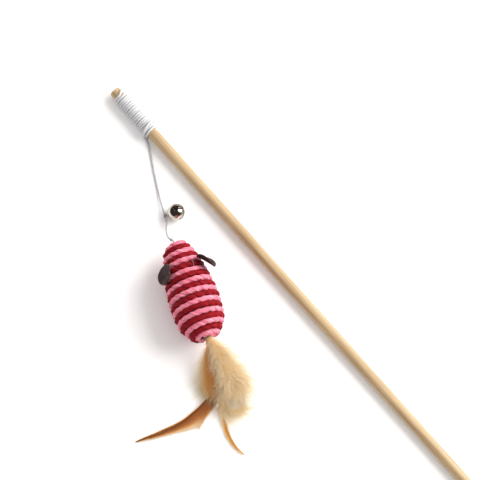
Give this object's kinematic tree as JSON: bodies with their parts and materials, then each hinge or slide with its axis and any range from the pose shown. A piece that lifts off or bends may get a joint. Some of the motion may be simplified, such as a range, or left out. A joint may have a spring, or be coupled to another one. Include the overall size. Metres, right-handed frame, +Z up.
{
  "type": "cat teaser wand",
  "caption": "Slim wooden wand with a cord wound round its tip, a small round bell and a cone-shaped twine-wrapped lure with ears and a feather tail.",
  "frame": {"origin": "centre of the butt end of the stick, on its axis", "axes": "+X along the stick from butt to tip, +Y towards the lure, +Z up from the table it lies on"},
  "size_m": [0.4, 0.1593, 0.0362],
  "materials": {
    "beech": "smooth, clear satin",
    "cord_white": "tight braided cotton cord",
    "nickel": "bright nickel plate",
    "steel": "drawn steel",
    "core_paper": "wound paper, matt",
    "twine_pink": "twisted twine, matt",
    "twine_red": "twisted twine, matt",
    "ear_brown": "soft matt leather",
    "plug_wood": "dark, unfinished",
    "feather_rust": "feather, satin",
    "feather_tan": "feather, satin",
    "down_cream": "soft down"
  },
  "bodies": {
    "wand": {"wand_dowel": "beech", "tip_winding": "cord_white"},
    "knot": {"hitch_knot": "cord_white"},
    "cord": {"free_cord": "cord_white", "bell_knot": "cord_white"},
    "bell": {"bell_shell": "nickel", "bell_bail": "nickel"},
    "pellet": {"bell_pellet": "steel"},
    "lure": {"lure_core": "core_paper", "pink_twine": "twine_pink", "red_twine": "twine_red", "nose_cord": "cord_white", "stopper_knot": "cord_white", "ear_staple": "steel", "tail_plug": "plug_wood"},
    "ear_left": {"ear_left": "ear_brown"},
    "ear_right": {"ear_right": "ear_brown"},
    "tail": {"feather_long": "feather_rust", "feather_slim": "feather_tan", "down_plume": "down_cream"}
  },
  "joints": [
    {"name": "cord_swing", "type": "hinge", "parent": "wand", "child": "knot", "pos_m": [0.36013, 0.00506, -0.00299], "axis": [0, 0, 1], "range_deg": [-120, 5]},
    {"name": "cord_lift", "type": "hinge", "parent": "knot", "child": "cord", "pos_m": [0.36013, 0.00506, -0.00299], "axis": [0.3612, 0.9325, 0], "range_deg": [-85, 45]},
    {"name": "bell_swing", "type": "hinge", "parent": "cord", "child": "bell", "pos_m": [0.30669, 0.03264, -0.00111], "axis": [-0.9379, 0.345, 0.037], "range_deg": [-170, 170]},
    {"name": "pellet_roll", "type": "hinge", "parent": "bell", "child": "pellet", "pos_m": [0.30372, 0.02528, 0.0022], "axis": [0.3459, 0.8557, -0.3849], "continuous": true},
    {"name": "lure_swing", "type": "hinge", "parent": "cord", "child": "lure", "pos_m": [0.28927, 0.04198, 0.00545], "axis": [0, 0, 1], "range_deg": [-60, 12]},
    {"name": "ear_left_flex", "type": "hinge", "parent": "lure", "child": "ear_left", "pos_m": [0.27597, 0.05947, 0.02018], "axis": [0.1839, 0.5408, -0.8208], "range_deg": [-2, 35], "stiffness_Nm_per_rad": 0.002},
    {"name": "ear_right_flex", "type": "hinge", "parent": "lure", "child": "ear_right", "pos_m": [0.26552, 0.03794, 0.02228], "axis": [0.1921, 0.3271, 0.9253], "range_deg": [-2, 35], "stiffness_Nm_per_rad": 0.002},
    {"name": "tail_flex", "type": "hinge", "parent": "lure", "child": "tail", "pos_m": [0.21782, 0.07082, 0.0155], "axis": [0, 0, 1], "range_deg": [-12, 8], "stiffness_Nm_per_rad": 0.01}
  ]
}
